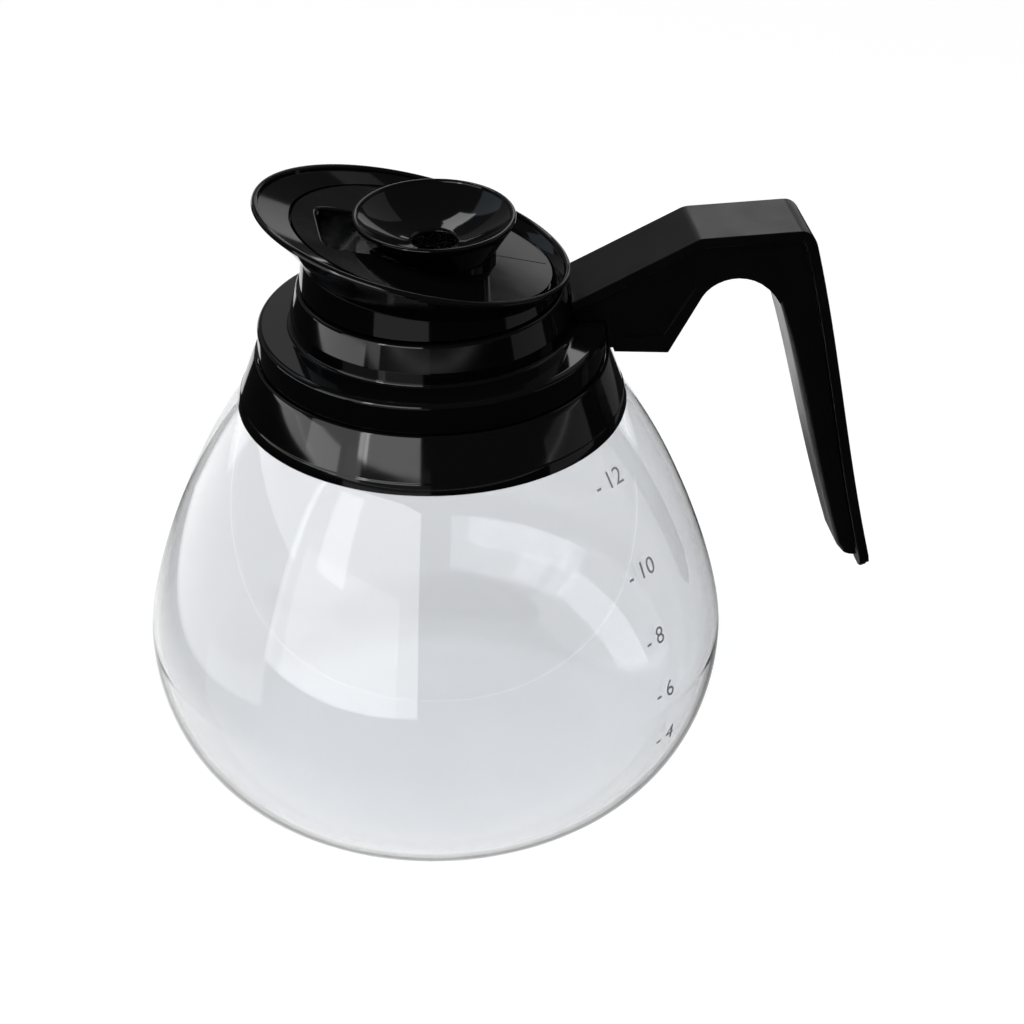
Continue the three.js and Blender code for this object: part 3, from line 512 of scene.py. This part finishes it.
# Lid plate
# Loose glossy black plate that lies in the funnel's seat. A pour slot is cut on the lip side, a
# mould parting crease runs towards the handle, and an upright boss holds the drip cup.
PLATE_HALF = (36.5, 33.5)
PLATE_TOP = 3.1
PLATE_FOOT = 5
CUP_AXIS = 1.2
CUP_FOOT = 167.4
CUP_GAP = 0.3
BOSS_FOOT = 161
BOSS_RADIUS = 17
BOSS_BORE = 15.4
SLOT_START = -12
SLOT_END = -25.6
SLOT_HALF = 12.5
SLOT_CORNER = 5
SLOT_ROUNDING = 0.8
CREASE_HALF = 0.2
CREASE_DEPTH = 0.3


def level_slab(name, outline, low, high):
    """A flat piece with an outline in the rim's own plane, between two depths below it."""
    piece = flat_face(name, outline)
    bpy.ops.transform.rotate(value=math.pi / 2, orient_axis="X", center_override=(0, 0, 0))
    bpy.ops.transform.translate(value=(0, 0, -low * MM))
    bpy.ops.mesh.extrude_region_move(TRANSFORM_OT_translate={"value": (0, 0, (low - high) * MM)})
    bpy.ops.mesh.select_all(action="SELECT")
    bpy.ops.transform.rotate(value=-RIM_TILT, orient_axis="Y", center_override=(0, 0, 0))
    bpy.ops.transform.translate(value=(RIM_CENTRE[0] * MM, 0, RIM_CENTRE[1] * MM))
    closed()
    return piece


def chosen(piece, kind, wanted):
    """Enter edit mode with the wanted edges, or the wanted faces, of the piece selected."""
    bpy.ops.object.mode_set(mode="EDIT")
    bpy.ops.mesh.select_mode(type=kind)
    bpy.ops.mesh.select_all(action="DESELECT")
    bpy.ops.object.mode_set(mode="OBJECT")
    for part in piece.data.edges if kind == "EDGE" else piece.data.polygons:
        part.select = wanted(part)
    bpy.ops.object.mode_set(mode="EDIT")


def on_brim(edge):
    """Whether an edge of the plate lies on the slot's upper brim, away from the drip cup."""
    ends = [lid_plate.data.vertices[i].co / MM for i in edge.vertices]
    near = all(min((end - point).length for point in brim) < 0.05 for end in ends)
    return near and abs(ends[0].y - ends[1].y) < 2 * SLOT_HALF - SLOT_CORNER


plate_outline = arc((SEAT_SHIFT, 0), PLATE_HALF, 0, 360, ROUND_SIDES)[:-1]
lid_plate = level_slab("moulded_plate", plate_outline, PLATE_TOP, PLATE_FOOT)
trimmed(lid_plate, turned("boss", [
    (0, BOSS_FOOT), (BOSS_RADIUS, BOSS_FOOT), (BOSS_RADIUS, CUP_FOOT + 1), (0, CUP_FOOT + 1),
], CUP_AXIS), "UNION")
boss_top = CUP_FOOT - CUP_GAP
trimmed(lid_plate, turned("cup_room", [
    (0, 150), (BOSS_BORE, 150), (BOSS_BORE, boss_top), (BOSS_RADIUS + CUP_GAP, boss_top),
    (22.5, 175.7), (22.5, 190), (0, 190),
], CUP_AXIS))
slot_outline = [(SLOT_START, SLOT_HALF), *curve([
    (SLOT_END + SLOT_CORNER, SLOT_HALF), (SLOT_END, SLOT_HALF), (SLOT_END, SLOT_HALF - SLOT_CORNER),
], 6)]
slot_outline += [(x, -y) for x, y in slot_outline[::-1]]
trimmed(lid_plate, level_slab("pour_slot", slot_outline, 0, PLATE_FOOT + 3))
brim = []
for along, sideways in slot_outline:
    middle = rim_ring(along, 1, 1, PLATE_TOP)
    brim.append(Vector((middle[0], sideways, middle[1])))
chosen(lid_plate, "EDGE", on_brim)
bpy.ops.mesh.bevel(offset=SLOT_ROUNDING * MM, segments=4, affect="EDGES")
bpy.ops.mesh.select_mode(type="VERT")
bpy.ops.object.mode_set(mode="OBJECT")
crease_outline = [(22, CREASE_HALF), (38.6, CREASE_HALF), (38.6, -CREASE_HALF), (22, -CREASE_HALF)]
trimmed(lid_plate, level_slab("crease", crease_outline, 2, PLATE_TOP + CREASE_DEPTH))
bpy.ops.object.mode_set(mode="EDIT")
closed()
smoothed(lid_plate, 35)
placed(lid_plate, black_gloss, "lid", "black_gloss", "lid_plate")


# Drip cup
# Glossy black cup pressed into the lid's boss. Coffee from the brewer falls in its shallow cone and
# runs through the hole and the stem below into the bowl.
CUP_RADIUS = 22.2
CUP_RIM = 177.1
CUP_WALL = 1.4
CUP_LIP = 0.6
STEM_FOOT = 154.9
STEM_RADII = (13.1, 15.1)
HOLE_RADIUS = 6
drip_cup = turned("moulded_cup", [
    (STEM_RADII[1], STEM_FOOT), (STEM_RADII[1], CUP_FOOT), (BOSS_RADIUS, CUP_FOOT),
    *curve([(BOSS_RADIUS, CUP_FOOT), (18.6, 170.2), (CUP_RADIUS, CUP_RIM - CUP_WALL)], 8)[1:],
    *arc((CUP_RADIUS - CUP_WALL / 2, CUP_RIM - CUP_LIP), (CUP_WALL / 2, CUP_LIP), 0, 180, 8),
    *curve([(20.6, 176.2), (14, 171.2), (7, 169.5)], 8),
    (6.3, 169.2), (HOLE_RADIUS, 168.7), (HOLE_RADIUS, 168.1),
    (STEM_RADII[0], 166.7), (STEM_RADII[0], STEM_FOOT), (STEM_RADII[1], STEM_FOOT),
], CUP_AXIS)
smoothed(drip_cup, 40)
placed(drip_cup, black_gloss, "lid", "black_gloss", "drip_cup")


# Handle spine
# Satin black strip, moulded on its own: from the collar's neck up the beam, over a flat thumb panel
# and down the outside of the grip to a rounded tip. Two screws pull it down on the body.
SATIN_BLACK = (0.0025, 0.0025, 0.0027, 1)
SPINE_HALF = 10.5
SPINE_THICK = 3
SPINE_ROUNDING = 0.7
PANEL_HEIGHT = 168.6
GRIP_TOP = 164.1
TIP_HEIGHT = 52.6
TIP_WIDTH = 15
TIP_END = 0.98


def collar_room():
    """The space that the collar takes out of the handle's root."""
    return turned("collar_room", [
        (0, 120), (54.5, 120), (54.5, 124.1), (50.1, 136.4), (48.8, 136.4), (48.8, 143),
        *arc((46.5, 143), (2.3, 2.3), 20, 90, 6), *arc((41.8, 147.2), (2, 2), 270, 190, 4),
        (37.3, 157), (0, 157),
    ])


def tip_share(height):
    """How much of its width the handle keeps at a height on the grip."""
    drop = min(max((GRIP_TOP - height) / (GRIP_TOP - TIP_HEIGHT), 0), 1)
    tip = min(max(1 - 2 * (height - TIP_HEIGHT) / TIP_WIDTH, 0), TIP_END)
    narrow = 1 + (TIP_WIDTH / (2 * SPINE_HALF) - 1) * drop * drop
    return narrow * math.sqrt(1 - tip * tip)


def strip(name, inner, outer, half_width):
    """A bar that is drawn on through pairs of an inner and an outer point."""
    bpy.ops.object.select_all(action="DESELECT")
    bpy.ops.mesh.primitive_plane_add(size=2 * MM)
    piece = bpy.context.object
    piece.name = name
    bpy.ops.object.mode_set(mode="EDIT")
    lofted([
        ((a[0] + b[0]) / 2, (a[1] + b[1]) / 2, (b[0] - a[0]) / 2, (b[1] - a[1]) / 2,
         half_width * tip_share((a[1] + b[1]) / 2))
        for a, b in zip(inner, outer)
    ])
    closed()
    return piece


grip_controls = [(105.8, GRIP_TOP), (114.35, 130.1), (118.7, 92.7), (129.3, TIP_HEIGHT)]
beam_path = [(34, 150.6), (45, 155.7), (57, 161.3)]
bend_path = curve([(71.4, 168.05), (72.6, PANEL_HEIGHT), (73.9, PANEL_HEIGHT)], 4)
corner_path = curve([(100.8, PANEL_HEIGHT), (104.3, PANEL_HEIGHT), grip_controls[0]], 8)
grip_path = curve(grip_controls, 40)[1:]
grip_path[-1] = curve(grip_path[-2:], 4)[3]
spine_outer = beam_path + bend_path + corner_path + grip_path
spine_inner = beside(spine_outer, [-SPINE_THICK] * len(spine_outer))
tip_middle = (Vector(spine_outer[-1]) + Vector(spine_inner[-1])) / 2
tip_half = (Vector(spine_outer[-1]) - Vector(spine_inner[-1])) / 2
tip_onwards = Vector((tip_half.y, -tip_half.x))
for turn in (math.radians(20), math.radians(40), math.radians(60)):
    middle = tip_middle + tip_onwards * math.sin(turn)
    spine_inner.append(tuple(middle - tip_half * math.cos(turn)))
    spine_outer.append(tuple(middle + tip_half * math.cos(turn)))
spine = strip("handle_strip", spine_inner, spine_outer, SPINE_HALF)
trimmed(spine, collar_room())
softened(spine, SPINE_ROUNDING, 50)
black_satin = new_finish("black_satin", {"Base Color": SATIN_BLACK, "IOR": 1.5})
uneven_gloss(black_satin, 80, 0.28, 0.36)
relief(black_satin, 1400, 0.05, 0.35)
placed(spine, black_satin, "decanter", "black_satin", "handle_spine")


# Handle body
# Satin black moulding under the spine: it hooks over the collar's shoulder, holds the clamp's ears
# in a slot, arches over the fingers and runs down as a tongue with rounded inner edges.
BODY_HALF = 9
BODY_ROUNDING = 0.5
BODY_GAP = 0.3
ARCH_END = (96.6, 145.5)
TONGUE_END = (117, 66)
GRIP_STEPS = 24
GRIP_ROUNDING = 2.4
GRIP_FADE_IN = 7
GRIP_FADE_OUT = 16
TIP_ROUNDING_SHARE = 0.45
POCKET = 0.7
arch_inner = curve([(74.2, 150), (78, 156.3), (90.3, 158.1), ARCH_END], 12)
arch_outer = [
    (70.7, 164.1), (72.6, 164.9), (74.6, 165.25), (77, 165.3), (80, 165.3), (83.5, 165.3), (87, 165.3),
    (90.5, 165.3), (94, 165.3), (97, 165.3), (99.5, 165.25), (101.3, 164.9), (102.6, 163.3),
]
grip_inner = curve([ARCH_END, (102.3, 127.5), (107.3, 98.5), TONGUE_END], GRIP_STEPS)
grip_outer = beside(curve(grip_controls, 60), [-SPINE_THICK - BODY_GAP] * 61)
tongue_outer = [grip_outer[round(i * 53 / GRIP_STEPS)] for i in range(GRIP_STEPS + 1)]
tongue_tip = curve([TONGUE_END, (118.4, 59.8), (123.3, 59.3)], 6)[1:]
body_inner = [(34.5, 135.2), (48.5, 135.2), (65, 133.4)] + arch_inner + grip_inner[1:] + tongue_tip
body_outer = [(34.5, 147.2), (48.5, 153.7), (63, 160.5)] + arch_outer + tongue_outer[1:]
body_outer += curve([tongue_outer[-1], (124.1, 59.5)], 6)[1:]
rounded_line = grip_inner + tongue_tip[:3]
handle_body = strip("handle_bar", body_inner, body_outer, BODY_HALF)
rounding_shares = handle_body.data.attributes.new("bevel_weight_edge", "FLOAT", "EDGE")
corners = [v.co / MM for v in handle_body.data.vertices]
for edge in handle_body.data.edges:
    a, b = (corners[i] for i in edge.vertices)
    steps = [
        i for i, (x, z) in enumerate(rounded_line)
        if min(math.hypot(a.x - x, a.z - z), math.hypot(b.x - x, b.z - z)) < 0.01
    ]
    if len(steps) == 2 and a.y * b.y > 0:
        fade_in = (steps[0] + 0.5) / GRIP_FADE_IN
        fade_out = (len(rounded_line) - 1 - steps[1]) / GRIP_FADE_OUT
        fade_out = TIP_ROUNDING_SHARE + (1 - TIP_ROUNDING_SHARE) * fade_out
        rounding_shares.data[edge.index].value = min(1, fade_in) * min(1, fade_out)
rounded(handle_body, GRIP_ROUNDING, 5, "WEIGHT")
trimmed(handle_body, collar_room())
pocket_outline = [(52.1, 138.8), (63.8, 138.8), (72, 152), (72, 160), (52.1, 150.8)]
for side in (-BODY_HALF, BODY_HALF):
    trimmed(handle_body, slab("pocket", pocket_outline, side - POCKET, side + POCKET))
softened(handle_body, BODY_ROUNDING, 30)
placed(handle_body, black_satin, "decanter", "black_satin", "handle_body")


# Lamp and reflection cards
# A soft lamp overhead lights everything. Upright cards stand round the decanter: one set that the
# black plastic mirrors, and one set that the glass alone mirrors or lets through.
COLLAR_VIEW = 0.14
BELLY_VIEW = 0.06
WHITE = (1, 1, 1)
SKY_BLUE = (0.75, 0.87, 1)
OVERHEAD_PLACE = (-0.4, -0.7, 3)
OVERHEAD_SIZE = (3, 3)
OVERHEAD_GLOW = 3.2


def lamp(name, place, size, radiance, colour, mirrored):
    """A soft lamp that faces down, for mirror reflections alone or for plain light alone."""
    light = bpy.data.lights.new(name, "AREA")
    light.shape = "RECTANGLE"
    light.size, light.size_y = size
    light.color = colour
    light.energy = radiance * math.pi * size[0] * size[1]
    holder = bpy.data.objects.new(name, light)
    bpy.context.scene.collection.objects.link(holder)
    holder.location = place
    holder.visible_camera = False
    holder.visible_diffuse = not mirrored
    holder.visible_glossy = mirrored
    holder.visible_transmission = False
    return holder


def card(name, azimuths, elevations, distance, radiance, colour=WHITE, for_glass=False):
    """An upright reflection card for the plastic or for the glass, which fills a range of
    directions as the collar or the belly sees them."""
    middle = math.radians(sum(azimuths) / 2)
    outwards = Vector((math.cos(middle), math.sin(middle), 0))
    eye = BELLY_VIEW if for_glass else COLLAR_VIEW
    low, high = (eye + distance * math.tan(math.radians(e)) for e in elevations)
    width = 2 * distance * math.tan(math.radians(abs(azimuths[1] - azimuths[0]) / 2))
    place = outwards * distance
    place.z = (low + high) / 2
    holder = lamp(name, place, (width, high - low), radiance, colour, True)
    holder.rotation_euler = outwards.to_track_quat("Z", "Y").to_euler()
    holder.visible_transmission = for_glass
    holder.light_linking.receiver_collection = glass_alone if for_glass else all_but_glass
    return holder


glass_alone = bpy.data.collections.new("glass_alone")
glass_alone.objects.link(glass_bowl)
all_but_glass = bpy.data.collections.new("all_but_glass")
all_but_glass.objects.link(glass_bowl)
all_but_glass.collection_objects[0].light_linking.link_state = "EXCLUDE"
lamp("overhead_lamp", OVERHEAD_PLACE, OVERHEAD_SIZE, OVERHEAD_GLOW, WHITE, False)
card("window_left", (-173, -138), (-2, 28), 0.8, 1.2)
card("window_middle", (-140.5, -135), (4, 28), 0.8, 5)
card("window_right", (-137, -105), (4, 28), 0.8, 2.4)
card("window_sill", (-145, -99.5), (-23, -6), 0.32, 0.42)
card("window_ledge", (-145, -99.5), (-6, 4), 0.32, 0.12)
card("left_card", (160, 213), (-5.4, 1.4), 0.2, 1.9)
card("right_card", (-34, -1), (-12, 1), 0.5, 0.2)
card("skirt_card", (20, 44), (-19, -8), 0.3, 0.14)
card("right_sky_card", (0, 50), (26, 52), 0.9, 0.2)
card("back_card", (50, 72), (8, 20), 1, 0.65)
card("rear_card", (84, 94), (2, 32), 1.1, 0.3)
card("rear_left_card", (94, 150), (2, 30), 1.1, 0.08)
card("panel_card", (66, 82), (24, 42), 1, 1.65)
card("sky_card", (120, 160), (31, 52), 1, 0.4, SKY_BLUE)
card("ceiling_lamp", (94, 122), (48, 62), 0.6, 2.8)
card("glass_window", (-166, -105), (-4, 40), 0.8, 2.3, for_glass=True)
card("glass_streak", (-152, -138), (15, 36), 0.8, 1.7, for_glass=True)
card("glass_left", (125, 200), (-13, 60), 0.25, 1, for_glass=True)
card("glass_rear", (20, 140), (-3, 60), 1, 0.8, for_glass=True)
card("glass_band", (-160, -113), (-8, 18), 0.8, 1.8, for_glass=True).visible_glossy = False
card("glass_left_band", (136, 196), (14, 38), 0.8, 3, for_glass=True).visible_glossy = False


# Studio air and floor
# Air and a paper floor that are white to the camera. Mirrors see the air almost black, so that the
# plastic shows its cards alone, and the paper grows brighter away from the decanter.
AIR_GLOW = 0.05
AIR_THROUGH_GLASS = 0.85
FLOOR_SIZE = 40
FLOOR_DROP = 0.0001
PAPER_GREY = (0.45, 0.45, 0.45, 1)
PAPER_GLOW = 0.7
PAPER_BRIGHTENS = (0.8, 3)


def reckoned(tree, operation, *terms):
    """The result of a sum whose terms are plain numbers or the outputs of other nodes."""
    node = tree.nodes.new("ShaderNodeMath")
    node.operation = operation
    for socket, term in zip(node.inputs, terms):
        if isinstance(term, bpy.types.NodeSocket):
            tree.links.new(term, socket)
        else:
            socket.default_value = term
    return node.outputs["Value"]


def distance_from(tree, point):
    """How far a place on the piece is from a point, in metres."""
    place = tree.nodes.new("ShaderNodeTexCoord")
    reach = tree.nodes.new("ShaderNodeVectorMath")
    reach.operation = "DISTANCE"
    reach.inputs[1].default_value = point
    tree.links.new(place.outputs["Object"], reach.inputs[0])
    return reach.outputs["Value"]


world = bpy.data.worlds.new("studio_air")
bpy.context.scene.world = world
world.use_nodes = True
tree = world.node_tree
rays = tree.nodes.new("ShaderNodeLightPath").outputs
through = ranged(tree, rays["Is Transmission Ray"], (0, 1), (AIR_GLOW, AIR_THROUGH_GLASS))
backdrop = reckoned(tree, "MULTIPLY_ADD", rays["Is Camera Ray"], 1 - AIR_GLOW, through)
tree.links.new(backdrop, tree.nodes["Background"].inputs["Strength"])
tree.nodes["Background"].inputs["Color"].default_value = (*WHITE, 1)

bpy.ops.object.select_all(action="DESELECT")
bpy.ops.mesh.primitive_plane_add(size=FLOOR_SIZE, location=(0, 0, -FLOOR_DROP))
floor = bpy.context.object
floor.name = "studio_floor"
paper = new_finish("white_paper", {
    "Base Color": PAPER_GREY,
    "Roughness": 0.9,
    "Specular IOR Level": 0,
    "Emission Color": (*WHITE, 1),
})
tree = paper.node_tree
rays = tree.nodes.new("ShaderNodeLightPath").outputs
seen = reckoned(tree, "MAXIMUM", rays["Is Camera Ray"], rays["Is Glossy Ray"])
seen = reckoned(tree, "MAXIMUM", seen, rays["Is Transmission Ray"])
brightness = ranged(tree, distance_from(tree, (0, 0, 0)), PAPER_BRIGHTENS, (PAPER_GLOW, 1))
glow = reckoned(tree, "MULTIPLY", seen, brightness)
tree.links.new(glow, tree.nodes["Principled BSDF"].inputs["Emission Strength"])
coated(floor, paper)


# Dark reflection sheet
# A black sheet on the floor that shows in mirrors alone, as a painted dark reflection that keeps the
# plastic dark towards the white paper. It fades in round the foot of the glass and has a gap at the
# back.
REFLECTED_BLACK = (0.02, 0.02, 0.02, 1)
SHEET_HEIGHT = 0.2
SHEET_RADII = (62, 10000)
SHEET_GAP = (58, 116)
SHEET_MIDDLE = (-0.04, 0.03, 0)
SHEET_FADE = (0.1, 0.18)


def in_gap(face):
    """Whether a face of the reflection sheet lies in the directions that it leaves open."""
    return SHEET_GAP[0] < math.degrees(math.atan2(face.center.y, face.center.x)) < SHEET_GAP[1]


reflection_sheet = turned("dark_reflection_sheet", [(radius, SHEET_HEIGHT) for radius in SHEET_RADII])
chosen(reflection_sheet, "FACE", in_gap)
bpy.ops.mesh.delete(type="FACE")
bpy.ops.mesh.select_mode(type="VERT")
bpy.ops.object.mode_set(mode="OBJECT")
reflection_sheet.visible_camera = False
reflection_sheet.visible_diffuse = False
reflection_sheet.visible_transmission = False
reflection_sheet.visible_shadow = False
# Its black is a painted dark reflection: glossy rays alone see it.
reflection_finish = new_finish("painted_dark_reflection", {"Base Color": REFLECTED_BLACK, "Specular IOR Level": 0})
tree = reflection_finish.node_tree
fade = ranged(tree, distance_from(tree, SHEET_MIDDLE), SHEET_FADE, (0, 1))
tree.links.new(fade, tree.nodes["Principled BSDF"].inputs["Alpha"])
coated(reflection_sheet, reflection_finish)


# Camera
# The long lens of the photograph, at its place in front of the decanter and above it. The colours
# are shown as they are, so that white paper stays white.
CAMERA_AT = Vector((-98.5, -723.5, 535.9))
CAMERA_TO = Vector((21.9, -3.7, 82.4))
CAMERA_LENS = 105.5
CAMERA_SENSOR = 36
lens = bpy.data.cameras.new("photo_camera")
lens.lens = CAMERA_LENS
lens.sensor_width = CAMERA_SENSOR
camera = bpy.data.objects.new("photo_camera", lens)
bpy.context.scene.collection.objects.link(camera)
camera.location = CAMERA_AT * MM
camera.rotation_euler = (CAMERA_TO - CAMERA_AT).to_track_quat("-Z", "Y").to_euler()
bpy.context.scene.camera = camera
bpy.context.scene.view_settings.view_transform = "Standard"
